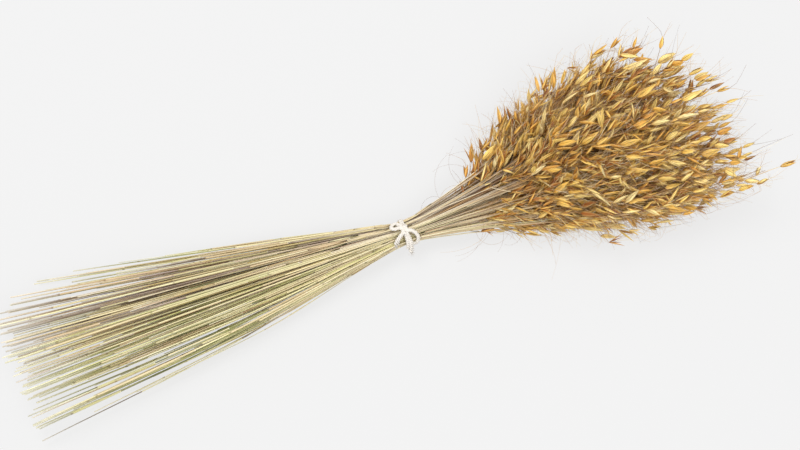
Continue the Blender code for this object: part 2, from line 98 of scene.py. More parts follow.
# The heads' outline seen from above: distance from the tie, then metres to each side
OUTLINE_AT = (0.040, 0.060, 0.084, 0.098, 0.114, 0.126, 0.140, 0.156, 0.171, 0.190, 0.212, 0.290,
              0.340)
OUTLINE_LEFT = (0.018, 0.036, 0.052, 0.060, 0.070, 0.062, 0.068, 0.075, 0.069, 0.076, 0.079,
                0.078, 0.070)
OUTLINE_RIGHT = (0.014, 0.024, 0.033, 0.038, 0.044, 0.048, 0.053, 0.058, 0.065, 0.068, 0.073,
                 0.077, 0.078)

# The yarn, with its width and thickness in each part of the tie
YARN_TWIST = 0.0064         # length of yarn in which its plies go round once
YARN_STEP = 0.00055         # length of yarn from ring to ring
PLIES = 3
PLY_SIZE = 0.58             # a ply's size, and how far out it lies, as shares of the yarn's
PLY_SPREAD = 0.50
BAND_YARN = (0.0024, 0.0013)
KNOT_YARN = (0.0031, 0.0021)
BOW_YARN = (0.0034, 0.0022)
BAND_FUZZ = 60              # short fibres on each turn of the band
BOW_FUZZ = 46               # and on each loop and end of the bow
FRAY_FIBRES = 22            # loose fibres at the tip of an end

UP = np.array((0.0, 0.0, 1.0))
SIDE = np.array((0.0, 1.0, 0.0))
CROSSWISE = np.array((0.0, 1.0, 1.0))   # takes the part along X out of a vector
HEADS_MIDDLE = np.array((0.0, TIE_Y, 0.036))

# Places of the grass materials in a piece's list
CULM, SHEATH, HUSK, SEED, TWIG = range(5)

# Width and height of a strip's chart on the texture map
MAP_EDGE = 0.0015           # free space round each chart
LONG_CHART = 0.5            # a chart longer than this keeps its length
CULM_CHART = (0.97, 0.007)
CUT_CHART = (0.010, 0.007)
SHEATH_CHART = (0.20, 0.008)
HUSK_CHART = (0.034, 0.017)
SEED_CHART = (0.028, 0.012)
BRISTLE_CHART = (0.026, 0.004)
BRANCH_CHART = (0.022, 0.004)
HAIR_CHART = (0.03, 0.003)
STRAY_HAIR_CHART = (0.05, 0.003)
YARN_CHART = (0.95, 0.018)
FRAY_CHART = (0.03, 0.005)
FUZZ_CHART = (0.02, 0.004)


# Vectors. Arrays hold one vector in their last axis.

def unit(vectors):
    size = np.linalg.norm(vectors, axis=-1, keepdims=True)
    return vectors / np.maximum(size, 1e-12)


def dot(a, b):
    return np.sum(a * b, axis=-1, keepdims=True)


def mix(a, b, share):
    return a + (b - a) * share


def square_to(directions, rough):
    """Unit vectors square to the directions, as near to the rough ones as can be."""
    return unit(rough - directions * dot(rough, directions))


def lift_to(points, least):
    """Raise the points that lie lower than the least height."""
    points[..., 2] = np.maximum(points[..., 2], least)


# Reading the CAD locks

# The points that a stalk runs through, and its CAD spikelets as (base, tip)
Stalk = namedtuple("Stalk", "cut waist joints spikelets")


def welded_mesh(node):
    """A node's points, each once, and the numbers of each point's neighbours."""
    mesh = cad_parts[node].data
    places = np.array([corner.co for corner in mesh.vertices])
    points, number = np.unique(np.round(places, 6), axis=0, return_inverse=True)
    number = number.ravel()
    neighbours = [set() for _ in points]
    for face in mesh.polygons:
        ring = [int(number[v]) for v in face.vertices]
        for a, b in zip(ring, ring[1:] + ring[:1]):
            if a != b:
                neighbours[a].add(b)
                neighbours[b].add(a)
    return points, neighbours


def connected(members, neighbours):
    """The members in groups that hang together."""
    left = set(members)
    groups = []
    while left:
        group = set()
        edge = {min(left)}
        while edge:
            group |= edge
            left -= edge
            edge = {n for e in edge for n in neighbours[e]} & left
        groups.append(sorted(group))
    return groups


def find_spikelets(points, neighbours):
    """Each spikelet's tip, ring and base, by number."""
    found = []
    for tip, ring in enumerate(neighbours):
        closed = all(b in neighbours[a] for a in ring for b in ring if a != b)
        if len(ring) == 3 and closed and points[tip][0] > TIE_X + 0.04:
            base = {n for r in ring for n in neighbours[r]} - ring - {tip}
            found.append((tip, ring, base))
    return found


def read_lock(node):
    """The three stalks of a CAD lock."""
    points, neighbours = welded_mesh(node)
    spikelets = find_spikelets(points, neighbours)
    husk = {n for tip, ring, _ in spikelets for n in (tip, *ring)}
    along = points[:, 0] - TIE_X
    trunk = {n for n in range(len(points)) if abs(along[n]) < FORK + 0.001} - husk
    rest = set(range(len(points))) - trunk - husk
    cuts = []
    heads = []
    for group in connected(rest, neighbours):
        touching = {n for g in group for n in neighbours[g]} & trunk
        waist = points[sorted(touching)].mean(0)
        centre = points[group].mean(0)
        if centre[0] < TIE_X:
            cuts.append((waist, centre))
        else:
            heads.append((waist, group))
    stalks = []
    for waist, group in heads:
        cut_waist, cut = min(cuts, key=lambda c: np.hypot(*(c[0] - waist)[1:]))
        order = sorted(group, key=lambda n: points[n][0])
        last = order[-3:]
        middle = order[4:-3]
        joints = [points[part].mean(0) for part in (order[:4], middle, last)]
        own = [(points[sorted(base)].mean(0), points[tip])
               for tip, _, base in spikelets if base <= set(group)]
        own.sort(key=lambda pair: pair[0][0])
        place = (waist + cut_waist) / 2.0
        stalks.append(Stalk(cut, np.array((TIE_X, place[1], place[2])), joints, own))
    return stalks


def thin_stalk(stalks, chance, least):
    """A thinner stalk that runs beside two of the given stalks."""
    a, b = (stalks[i] for i in chance.permutation(len(stalks))[:2])
    share = chance.uniform(least, 0.45)
    cut = mix(a.cut, b.cut, share)
    cut = mix(a.waist, cut, chance.uniform(0.62, 1.0))
    cut = np.maximum(cut, (cad_low[0] + 0.001, cad_low[1], 0.0012))
    waist = mix(a.waist, b.waist, chance.uniform(0.2, 0.8))
    joints = [mix(p, q, share) for p, q in zip(a.joints, b.joints)]
    for joint in joints:
        lift_to(joint, 0.003)
    return Stalk(cut, waist, joints, [])


def loose_stalk(stalk, chance):
    """A thin stalk that lies a little outside one at the fan's edge, or None elsewhere."""
    reach = TIE_X - stalk.cut[0]
    slope = (stalk.cut[1] - TIE_Y) / reach
    if slope > 0.215:
        out, length = chance.uniform(0.018, 0.036), chance.uniform(0.55, 0.85)
    elif slope < -0.125:
        out, length = -chance.uniform(0.008, 0.024), chance.uniform(0.95, 1.15)
    else:
        return None
    cut = mix(stalk.waist, stalk.cut + (0.0, out * reach, 0.0), length)
    cut[0] = max(cut[0], cad_low[0] + 0.002)
    cut[2] = min(cut[2], 0.012)
    waist = stalk.waist + (0.0, 0.0, 0.001)
    joints = [joint + (0.0, 0.0, 0.002) for joint in stalk.joints]
    return Stalk(cut, waist, joints, [])


# Smooth lines

def step_lengths(lines):
    """The distance from each point of a line to the next."""
    return np.linalg.norm(np.diff(lines, axis=-2), axis=-1)


def way_along(lines):
    """How far along its line each point is."""
    steps = step_lengths(lines)
    start = np.zeros((*steps.shape[:-1], 1))
    return np.concatenate((start, np.cumsum(steps, axis=-1)), axis=-1)


def smooth_line(knots, places):
    """Points at the given shares of the way along a smooth curve through the knots."""
    knots = np.asarray(knots)
    steps = step_lengths(knots)
    at = way_along(knots)
    slopes = np.diff(knots, axis=0) / steps[:, None]
    before, after = slopes[:-1], slopes[1:]
    share = (steps[:-1] / (steps[:-1] + steps[1:]))[:, None]
    tangents = np.vstack((slopes[:1], mix(before, after, share), slopes[-1:]))
    want = np.asarray(places) * at[-1]
    piece = np.clip(np.searchsorted(at, want, side="right") - 1, 0, len(steps) - 1)
    t = ((want - at[piece]) / steps[piece])[:, None]
    width = steps[piece][:, None]
    start, end = knots[piece], knots[piece + 1]
    return ((2 * t**3 - 3 * t**2 + 1) * start + (t**3 - 2 * t**2 + t) * width * tangents[piece]
            + (3 * t**2 - 2 * t**3) * end + (t**3 - t**2) * width * tangents[piece + 1])


def tubes(paths, radii, sides, spin=0.0):
    """Rings round each path: paths (n, rows, 3) and radii (n, rows) to (n, rows, sides, 3)."""
    heading = unit(np.gradient(paths, axis=1))
    mean = unit(paths[:, -1] - paths[:, 0])
    rough = np.where(np.abs(mean[:, 1:2]) < 0.7, SIDE, UP)
    rough = square_to(mean, np.broadcast_to(rough, mean.shape))
    first = square_to(heading, np.broadcast_to(rough[:, None], heading.shape))
    second = np.cross(heading, first)
    angle = 2.0 * pi * np.arange(sides) / sides + spin
    round_part = (first[:, :, None] * np.cos(angle)[:, None]
                  + second[:, :, None] * np.sin(angle)[:, None])
    return paths[:, :, None] + radii[:, :, None, None] * round_part


# Gathering strips and tubes into one mesh

def place_object(name, data):
    """A new object in the scene."""
    thing = bpy.data.objects.new(name, data)
    bpy.context.scene.collection.objects.link(thing)
    return thing


def chart_corners(rows, wide):
    """Each quad's corners on a strip's chart, as shares of its width and height."""
    left = np.linspace(0.0, 1.0, rows)
    up = np.linspace(0.0, 1.0, wide + 1)
    corners = np.zeros((rows - 1, wide, 4, 2))
    corners[..., 0, 0] = corners[..., 1, 0] = left[:-1, None]
    corners[..., 2, 0] = corners[..., 3, 0] = left[1:, None]
    corners[..., 0, 1] = corners[..., 3, 1] = up[None, :-1]
    corners[..., 1, 1] = corners[..., 2, 1] = up[None, 1:]
    return corners.reshape(-1, 2)


class Weave:
    """Grids of points that become one mesh, with the values that its materials read.

    tone is one random number a strip, run goes from 0 at a strip's root to 1 at its end, mark
    is 1 on a stalk's nodes, and grain is a place along and round the strip.
    """

    def __init__(self):
        self.points = []
        self.faces = []
        self.slots = []
        self.values = {"tone": [], "run": [], "mark": []}
        self.grain = []
        self.charts = []
        self.count = 0

    def add(self, grids, slot, tone, chart, closed=True, run=None, mark=None):
        """Add n grids of rows by columns; chart is each one's width and height on the map."""
        n, rows, columns, _ = grids.shape
        if n == 0:
            return
        number = self.count + np.arange(n * rows * columns).reshape(n, rows, columns)
        beside = np.roll(number, -1, axis=2) if closed else number[:, :, 1:]
        here = number if closed else number[:, :, :-1]
        quads = np.stack((here[:, :-1], beside[:, :-1], beside[:, 1:], here[:, 1:]), axis=-1)
        self.points.append(grids.reshape(-1, 3))
        self.faces.append(quads.reshape(-1, 4))
        self.slots.append(np.full(quads.size // 4, slot))
        self.count += n * rows * columns
        if run is None:
            run = np.linspace(0.0, 1.0, rows)[None, :]
        if mark is None:
            mark = np.zeros((1, 1))
        given = {"tone": tone[:, None], "run": run, "mark": mark}
        for title, value in given.items():
            whole = np.broadcast_to(value[:, :, None], (n, rows, columns))
            self.values[title].append(whole.ravel())
        self.grain.append(self.grain_of(grids, closed))
        self.charts.append((n, chart, chart_corners(rows, quads.shape[2])))

    def grain_of(self, grids, closed):
        """Metres along each strip, and the place round or across it from -1 to 1."""
        n, rows, columns, _ = grids.shape
        turn = 2.0 * pi * np.arange(columns) / columns
        across = np.stack((np.cos(turn), np.sin(turn)), axis=-1)
        if not closed:
            across = np.stack((np.linspace(-1.0, 1.0, columns), np.zeros(columns)), axis=-1)
        grain = np.zeros((n, rows, columns, 3))
        grain[..., 0] = way_along(grids.mean(2))[:, :, None]
        grain[..., 1:] = across
        return grain.reshape(-1, 3)

    def map_layout(self):
        """Places on the map for every grid: charts in rows from the bottom up."""
        size = 1.0
        while size > 0.02:
            laid = self.try_layout(size)
            if laid is not None:
                return laid
            size *= 0.97
        raise ValueError("The charts don't fit on the map.")

    def try_layout(self, size):
        """The places with every chart drawn at this size, or None where they don't fit."""
        bottom = MAP_EDGE
        places = []
        for n, (width, height), corners in self.charts:
            wide = width if width > LONG_CHART else width * size
            high = height * size
            per_row = max(1, int((1.0 - MAP_EDGE) / (wide + MAP_EDGE)))
            item = np.arange(n)
            x = MAP_EDGE + (item % per_row) * (wide + MAP_EDGE)
            y = bottom + (item // per_row) * (high + MAP_EDGE)
            bottom += -(-n // per_row) * (high + MAP_EDGE)
            if bottom > 1.0:
                return None
            spots = np.stack((x, y), axis=-1)[:, None]
            places.append((spots + corners[None] * np.array((wide, high))).reshape(-1, 2))
        return np.concatenate(places)

    def bare_mesh(self, name):
        points = np.concatenate(self.points)
        lift_to(points, LOWEST)
        faces = np.concatenate(self.faces)
        mesh = bpy.data.meshes.new(name)
        mesh.vertices.add(len(points))
        mesh.vertices.foreach_set("co", points.ravel())
        mesh.loops.add(faces.size)
        mesh.loops.foreach_set("vertex_index", faces.ravel())
        mesh.polygons.add(len(faces))
        mesh.polygons.foreach_set("loop_start", np.arange(0, faces.size, 4))
        mesh.polygons.foreach_set("use_smooth", np.ones(len(faces), bool))
        return mesh

    def make(self, name, materials):
        """All strips as one object, with its map and the values that its materials read."""
        mesh = self.bare_mesh(name)
        for material in materials:
            mesh.materials.append(material)
        mesh.polygons.foreach_set("material_index", np.concatenate(self.slots).astype(np.int32))
        layer = mesh.uv_layers.new(name="OFBake")
        layer.data.foreach_set("uv", self.map_layout().ravel())
        for title, values in self.values.items():
            attribute = mesh.attributes.new(title, "FLOAT", "POINT")
            attribute.data.foreach_set("value", np.concatenate(values).astype(np.float32))
        attribute = mesh.attributes.new("grain", "FLOAT_VECTOR", "POINT")
        attribute.data.foreach_set("vector", np.concatenate(self.grain).ravel())
        mesh.update(calc_edges=True)
        mesh.validate()
        return place_object(name, mesh)


def add_hairs(weave, lines, radius, thinning, tone, chart, slot=TWIG):
    """Three-sided strips along the lines, which grow thinner towards their ends."""
    t = np.linspace(0.0, 1.0, lines.shape[1])
    radii = radius * (1.0 - thinning * t) * np.ones((len(lines), 1))
    weave.add(tubes(lines, radii, 3), slot, tone, chart)


# Stalks

def culm_line(stalk, chance):
    """Knots of a stalk's line, from its cut end to its last spikelet, with a slight bow."""
    bow = chance.normal(0.0, 0.0007, 3) * (0.0, 1.0, 0.5)
    entry = mix(stalk.waist, stalk.cut, 0.10)
    halfway = mix(stalk.waist, stalk.cut, 0.50) + bow
    halfway[1] -= 0.0055 * min(max((TIE_Y - stalk.cut[1]) / 0.045, 0.0), 1.0)
    halfway[2] = max(halfway[2], 0.0010)
    leaving = mix(stalk.waist, stalk.joints[0], 0.28)
    leaving[1:] = mix(stalk.waist[1:], stalk.joints[0][1:], 0.20)
    return [stalk.cut, halfway, entry, stalk.waist, leaving, *stalk.joints]


def culm_rings(chance):
    """Shares of the way along a stalk for its rings, and which of them are nodes."""
    nodes = []
    place = chance.uniform(0.05, 0.16)
    while place < 0.60:
        nodes.append(place)
        place += chance.uniform(0.15, 0.24)
    plain = [0.0, 0.003, 0.05, 0.12, 0.2, 0.28, 0.36, 0.42, 0.46, 0.5, 0.53, 0.56, 0.6, 0.65, 0.7,
             0.75, 0.8, 0.85, 0.9, 0.95, 1.0]
    rings = [(p, 0.0) for p in plain if all(abs(p - node) > 0.008 for node in nodes)]
    for node in nodes:
        rings += [(node - 0.0032, 0.0), (node, 1.0), (node + 0.0032, 0.0)]
    rings.sort()
    return np.array([r[0] for r in rings]), np.array([r[1] for r in rings]), nodes


def grow_culm(weave, stalk, chance):
    """A hollow culm with nodes and cut end, and the papery sheaths round it."""
    side = (stalk.cut[1] - TIE_Y) / 0.06
    usual = float(np.interp(side, (-0.9, -0.75, -0.2, 0.2, 0.6, 0.9, 1.2),
                            (0.84, 0.24, 0.26, 0.50, 0.74, 0.62, 0.40)))
    plant_tone = min(max(chance.normal(usual, 0.24), 0.0), 1.0)
    knots = culm_line(stalk, chance)
    shares, marks, nodes = culm_rings(chance)
    path = smooth_line(knots, shares)
    thick = chance.uniform(*(CULM_RADII if stalk.spikelets else THIN_CULM_RADII))
    radii = thick * (1.0 - 0.58 * np.clip((shares - 0.30) / 0.62, 0.0, 1.0))
    radii = radii * (1.0 + 0.35 * marks)
    lift_to(path, radii)
    tone = np.array([plant_tone])
    grid = tubes(path[None], radii[None], 6, spin=chance.uniform(0.0, pi))
    weave.add(grid, CULM, tone, CULM_CHART, run=shares[None], mark=marks[None])
    grow_cut_face(weave, path, radii, chance, tone)
    for node in nodes[:3]:
        if chance.random() < 0.75:
            grow_sheath(weave, knots, node, thick, chance, plant_tone)
    return knots


def grow_cut_face(weave, path, radii, chance, tone):
    """The rim of the cut, and the start of the bore inside it."""
    heading = unit(path[1] - path[0])
    inside = np.stack((path[0], path[0] + heading * 0.0001, path[0] + heading * 0.0022))
    sizes = np.array((radii[0], radii[0] * 0.62, radii[0] * 0.45))
    grid = tubes(inside[None], sizes[None], 6)[:, :, ::-1]
    weave.add(grid, SHEATH, tone, CUT_CHART, run=np.array([[1.0, 0.9, 0.0]]))


def grow_sheath(weave, knots, node, thick, chance, plant_tone):
    """A papery sheath that clasps the culm above a node and ends in a torn edge."""
    reach = chance.uniform(0.07, 0.17)
    end = min(node + reach, 0.47)
    shares = np.array([node, node + 0.004, *np.linspace(node + 0.03, end - 0.004, 4), end])
    path = smooth_line(knots, shares)
    radii = thick * np.array((1.05, 1.28, 1.24, 1.22, 1.18, 1.14, 1.26))
    lift_to(path, radii)
    tone = np.array([plant_tone * 0.6 + chance.random() * 0.4])
    grid = tubes(path[None], radii[None], 6, spin=chance.uniform(0.0, pi))
    weave.add(grid, SHEATH, tone, SHEATH_CHART)


# Heads

def head_axis(stalk, knots, off_middle):
    """The stretch of a stalk that its spikelets stand on."""
    axis = smooth_line(knots, np.linspace(0.0, 1.0, 121))
    start = stalk.joints[0][0] - (0.042 if off_middle[1] < -0.018 else 0.022)
    end = stalk.joints[-1][0] + 0.004
    return axis[(axis[:, 0] > start) & (axis[:, 0] < end)]


def more_spikelet(axis, off_middle, edge, loose, chance):
    """One more spikelet of a head. A loose one stands out on a long branch."""
    outward = unit(off_middle)
    fluffy = edge if off_middle[1] > -0.01 else edge * 0.45
    share = chance.random() ** 0.9
    if loose and off_middle[1] < 0.0:
        share = 0.62 + 0.38 * share
    place = share * (len(axis) - 2)
    low = int(place)
    root = mix(axis[low], axis[low + 1], place - low)
    heading = unit(axis[low + 1] - axis[low])
    lateral = unit(square_to(heading, chance.normal(0.0, 1.0, 3) + outward * 1.4 * fluffy))
    spread = radians(mix(44.0, 16.0, share) * chance.uniform(0.4, 1.3))
    branch = mix(0.021, 0.008, share) * chance.uniform(0.4, 1.35)
    if loose:
        lateral = unit(square_to(heading, outward + chance.normal(0.0, 0.3, 3)))
        branch = chance.uniform(0.014, 0.030) * (0.5 + 0.5 * fluffy)
        spread = radians(chance.uniform(35.0, 60.0))
    leave = heading * cos(spread) + lateral * sin(spread)
    base = root + leave * branch
    turned = chance.normal(0.34, 0.42) + 1.5 * fluffy * (1.0 - share) ** 2 * chance.random()
    lean = heading + lateral * turned + chance.normal(0.0, mix(0.24, 0.40, fluffy), 3)
    lean[2] -= 0.10
    far = min(max((base[0] - TIE_X - 0.21) / 0.06, 0.0), 1.0)
    length = mix(chance.uniform(0.0125, 0.0205), chance.uniform(0.0110, 0.0145), far)
    return root, base, base + unit(lean) * length, loose


def head_spikelets(stalk, knots, chance):
    """The head's spikelets, as (branch's start, base, tip, kept where it is or not)."""
    head = []
    for base, tip in stalk.spikelets:
        far = base[0] - TIE_X > 0.262
        head.append((base, mix(base, tip, 0.42 if far else 0.14), tip, True))
    off_middle = (stalk.joints[1] - HEADS_MIDDLE) * CROSSWISE
    axis = head_axis(stalk, knots, off_middle)
    edge = min(1.0, np.linalg.norm(off_middle) / 0.042)
    count = HEAD_SPIKELETS if stalk.spikelets else THIN_HEAD_SPIKELETS
    more = LOOSE_SPIKELETS if edge > 0.9 else 0
    for number in range(count + more):
        head.append(more_spikelet(axis, off_middle, edge, number >= count, chance))
    return head


def head_tones(count, chance):
    """Spikelet tones: those of a head are alike, and heads differ."""
    usual = chance.normal(0.50, 0.20)
    return np.clip(chance.normal(usual, 0.17, count), 0.0, 1.0)


def keep_in_outline(bases, tips, own, chance):
    """Draw the spikelets that stray from the bunch's outline back towards its middle."""
    slack = chance.uniform(0.90, 1.07, len(tips))
    for points, room in ((bases, 0.97), (tips, 1.0)):
        along = points[:, 0] - TIE_X
        left = np.interp(along, OUTLINE_AT, OUTLINE_LEFT) * slack * room
        right = np.interp(along, OUTLINE_AT, OUTLINE_RIGHT) * slack * room
        inside = np.clip(points[:, 1], TIE_Y - right, TIE_Y + left)
        points[:, 1] = np.where(own, points[:, 1], inside)
        points[:] = np.clip(points, np.array(cad_low) + (0.0, -0.003, LOWEST_TIP),
                            np.array(cad_high) + (0.003, 0.003, 0.002))


# Many spikelets, each part an array with one row a spikelet
Spikelets = namedtuple("Spikelets", "bases axes faces lengths widths gapes tone")

HUSK_ROWS = np.array((0.0, 0.14, 0.34, 0.60, 0.84, 1.0))
HUSK_WIDTHS = np.array((0.22, 0.74, 1.0, 0.84, 0.38, 0.02))


def husk_grids(group, lengths, gapes, sign):
    """One husk of each spikelet: a boat-shaped leaf that opens to one side."""
    across = np.linspace(-1.0, 1.0, 5)
    bulge = radians(66.0)
    side = np.cross(group.axes, group.faces)
    u = HUSK_ROWS[None, :, None, None]
    w = HUSK_WIDTHS[None, :, None, None] * group.widths[:, None, None, None]
    length = lengths[:, None, None, None]
    gape = gapes[:, None, None, None]
    sideways = (np.sin(across * bulge) / sin(bulge))[None, None, :, None]
    depth = ((np.cos(across * bulge) - cos(bulge)) * 0.95)[None, None, :, None]
    out = length * np.sin(gape) * u * (0.55 + 0.45 * u) + w * depth
    ahead = length * u * (1.0 - 0.10 * gape * u)
    flip = sign * group.faces[:, None, None]
    grid = (group.bases[:, None, None] + group.axes[:, None, None] * ahead + flip * out
            + side[:, None, None] * w * sideways * sign)
    lift_to(grid, LOWEST_FIBRE)
    return grid


def grow_spikelets(weave, bases, tips, tone, chance):
    """Two husks, one or two florets and a few bristles for each spikelet."""
    n = len(bases)
    axes = unit(tips - bases)
    lengths = np.linalg.norm(tips - bases, axis=1)
    lengths = np.clip(lengths, 0.009, 0.0215)
    faces = unit(np.cross(axes, chance.normal(0.0, 1.0, (n, 3)) * (1.0, 1.0, 1.6)))
    stubby = np.clip((bases[:, 0] - TIE_X - 0.22) / 0.05, 0.0, 1.0)
    widths = lengths * mix(chance.uniform(0.090, 0.130, n), chance.uniform(0.17, 0.21, n), stubby)
    gapes = chance.uniform(0.10, 0.40, n) * (chance.random(n) < 0.70) + 0.03
    gapes = gapes * (1.0 - 0.6 * stubby)
    group = Spikelets(bases, axes, faces, lengths, widths, gapes, tone)
    for sign in (1.0, -1.0):
        size = lengths * chance.uniform(0.88, 1.0, n)
        opened = gapes * chance.uniform(0.6, 1.3, n)
        grid = husk_grids(group, size, opened, sign)
        weave.add(grid, HUSK, tone, HUSK_CHART, closed=False)
    grow_seeds(weave, group, chance)
    grow_bristles(weave, group, chance)


def grow_seeds(weave, group, chance):
    """The florets between the husks: one in each spikelet, and a second in every other."""
    shares = np.array((0.06, 0.42, 1.0))
    sizes = np.array((0.35, 1.0, 0.05))
    bases = group.bases
    for sign in (1.0, -1.0):
        lean = group.axes + group.faces * (sign * group.gapes * 0.45)[:, None]
        reach = group.lengths * chance.uniform(0.70, 0.90, len(bases))
        ends = bases + unit(lean) * reach[:, None]
        paths = bases[:, None] + (ends - bases)[:, None] * shares[None, :, None]
        radii = (group.widths * 0.42)[:, None] * sizes
        chosen = slice(None) if sign > 0 else slice(0, None, 2)
        grid = tubes(paths[chosen], radii[chosen], 3)
        weave.add(grid, SEED, group.tone[chosen], SEED_CHART)


def grow_bristles(weave, group, chance):
    """Fine bristles with a knee, from inside the spikelets. The dark ones bend more."""
    n = len(group.bases)
    far = group.bases[:, 0] - TIE_X > 0.17
    for dark, share in ((False, 1.0), (False, 0.60), (False, 0.30), (True, 0.24)):
        chosen = chance.random(n) < share
        if dark:
            chosen &= far
        count = int(chosen.sum())
        out = group.axes[chosen]
        start = group.bases[chosen] + out * (group.lengths * 0.45)[chosen, None]
        reach = chance.uniform(0.012, 0.027, count)
        bend = chance.normal(0.0, 0.75 if dark else 0.50, (count, 3)) + UP * 0.08
        t = np.linspace(0.0, 1.0, 5)[None, :, None]
        knee = np.maximum(t - 0.35, 0.0) ** 1.2
        sideways = group.faces[chosen] * chance.normal(0.0, 0.16, (count, 1))
        line = start[:, None] + (out[:, None] * t + bend[:, None] * knee
                                 + sideways[:, None] * t) * reach[:, None, None]
        radius = DARK_BRISTLE_RADIUS if dark else BRISTLE_RADIUS
        tone = chance.random(count) * 0.12 if dark else chance.random(count) ** 0.7
        add_hairs(weave, keep_near(line), radius, 0.6, tone, BRISTLE_CHART)


def keep_near(line):
    """Hold fine hairs above the surface and near the bunch's box."""
    low = np.array(cad_low) + (0.0, -0.010, LOWEST_HAIR)
    high = np.array(cad_high) + (0.020, 0.010, 0.004)
    return np.clip(line, low, high)


def grow_branches(weave, starts, ends, chance):
    """Fine branches from the stalk to each spikelet, sagging a little."""
    n = len(starts)
    t = np.linspace(0.0, 1.0, 4)[None, :, None]
    reach = np.linalg.norm(ends - starts, axis=1)[:, None, None]
    sag = chance.normal(0.0, 0.12, (n, 1, 3)) * reach * t * (1.0 - t)
    line = mix(starts[:, None], ends[:, None], t) + sag
    lift_to(line, LOWEST_HAIR)
    radii = mix(*BRANCH_RADII, t[..., 0]) * np.ones((n, 1))
    weave.add(tubes(line, radii, 3), TWIG, chance.random(n), BRANCH_CHART)


def grow_heads(weave, stalks, all_knots, chance):
    """The heads of all given stalks, with their branches, spikelets and loose hairs."""
    spikelets = []
    tones = []
    for stalk, knots in zip(stalks, all_knots):
        head = head_spikelets(stalk, knots, chance)
        tones.append(head_tones(len(head), chance))
        spikelets += head
    roots, bases, tips, own = (np.array(part) for part in zip(*spikelets))
    keep_in_outline(bases, tips, own, chance)
    grow_branches(weave, roots, bases, chance)
    grow_spikelets(weave, bases, tips, np.concatenate(tones), chance)
    grow_hairs(weave, bases, chance)


def curling_line(start, away, curl, reach, turn, t):
    """An arc that sets out one way and turns towards another."""
    ahead = away * np.sin(turn * t) / turn
    return start + reach * (ahead + curl * (1.0 - np.cos(turn * t)) / turn)


def grow_hairs(weave, bases, chance):
    """Long loose curling hairs that stand out of the heads."""
    off_middle = np.linalg.norm((bases - HEADS_MIDDLE) * CROSSWISE, axis=1)
    chosen = off_middle + 0.02 * chance.random(len(bases)) > 0.040
    picked = bases[chosen & (chance.random(len(bases)) < 0.46)]
    count = len(picked)
    away = unit((picked - HEADS_MIDDLE) * CROSSWISE) * 0.8
    away += (0.45, 0.0, 0.0) + chance.normal(0.0, 0.5, (count, 3))
    away = unit(away)
    curl = np.cross(away, chance.normal(0.0, 1.0, (count, 3)))
    t = np.linspace(0.0, 1.0, 9)[None, :, None]
    reach = chance.uniform(0.016, 0.040, (count, 1, 1))
    turn = chance.uniform(0.8, 4.2, (count, 1, 1))
    line = curling_line(picked[:, None], away[:, None], curl[:, None], reach, turn, t)
    add_hairs(weave, keep_near(line), HAIR_RADIUS, 0.5, chance.random(count), HAIR_CHART)


def grow_stray_hairs(weave, stalks, chance):
    """A long fine hair or two that arch out of the bunch beside its neck."""
    t = np.linspace(0.0, 1.0, 15)[None, :, None]
    for _ in range(chance.integers(1, 3)):
        stalk = stalks[chance.integers(len(stalks))]
        start = mix(stalk.waist, stalk.joints[0], chance.uniform(0.2, 0.9))
        side = 1.0 if start[1] > TIE_Y else -1.0
        away = unit(np.array((chance.uniform(-0.7, 0.7), side, chance.uniform(0.0, 0.3))))
        curl = unit(np.array((-side * away[1], side * away[0], -0.35))) * chance.choice((-1, 1))
        turn = chance.uniform(0.9, 4.0)
        reach = chance.uniform(0.030, 0.062)
        line = curling_line(start, away, curl, reach, turn, t)
        tone = chance.random(1) * 0.3
        add_hairs(weave, keep_near(line), STRAY_HAIR_RADIUS, 0.5, tone, STRAY_HAIR_CHART)


# Materials

RELIEF_DEPTH = 0.0003
NUMBER = "NodeSocketFloat"

# Colours and shades at places from 0 to 1: (place, red, green, blue)
FAN_COLOURS = (
    (0.0, 0.10, 0.11, 0.03), (0.10, 0.52, 0.51, 0.17), (0.20, 0.77, 0.73, 0.32),
    (0.31, 0.18, 0.19, 0.045), (0.41, 0.90, 0.84, 0.50), (0.51, 0.58, 0.50, 0.18),
    (0.61, 0.40, 0.23, 0.10), (0.70, 0.88, 0.75, 0.48), (0.78, 0.46, 0.34, 0.27),
    (0.86, 0.22, 0.155, 0.115), (0.93, 0.58, 0.46, 0.38), (1.0, 0.12, 0.08, 0.05))
WAIST_COLOURS = (
    (0.0, 0.64, 0.57, 0.30), (0.18, 0.90, 0.82, 0.54), (0.32, 0.50, 0.32, 0.20),
    (0.44, 0.80, 0.70, 0.44), (0.58, 0.93, 0.85, 0.61), (0.70, 0.56, 0.38, 0.26),
    (0.82, 0.34, 0.25, 0.19), (1.0, 0.86, 0.76, 0.55))
# The culm's colours inside the head: its own golden brown, with the darker stops painted shade of
# the gaps between the spikelets.
HEAD_CULM_COLOURS_AND_SHADE = (
    (0.0, 0.30, 0.13, 0.04), (0.35, 0.66, 0.44, 0.19), (0.6, 0.32, 0.15, 0.045),
    (1.0, 0.13, 0.05, 0.02))
SHEATH_COLOURS = (
    (0.0, 0.60, 0.56, 0.26), (0.35, 0.80, 0.71, 0.40), (0.6, 0.64, 0.47, 0.28),
    (0.8, 0.46, 0.42, 0.18), (1.0, 0.84, 0.77, 0.50))
HUSK_COLOURS = (
    (0.0, 0.28, 0.09, 0.020), (0.12, 0.48, 0.18, 0.030), (0.28, 0.74, 0.37, 0.060),
    (0.44, 0.85, 0.50, 0.090), (0.58, 0.89, 0.62, 0.16), (0.72, 0.95, 0.73, 0.28),
    (0.86, 0.97, 0.82, 0.43), (1.0, 0.84, 0.54, 0.13))
KEEL_SHADES = (
    (0.0, 0.42, 0.36, 0.28), (0.14, 0.95, 0.93, 0.88), (0.4, 1.0, 1.0, 1.0))
HUSK_BASE_SHADES = (
    (0.0, 0.55, 0.44, 0.30), (0.16, 0.88, 0.78, 0.62), (0.5, 1.0, 1.0, 1.0))
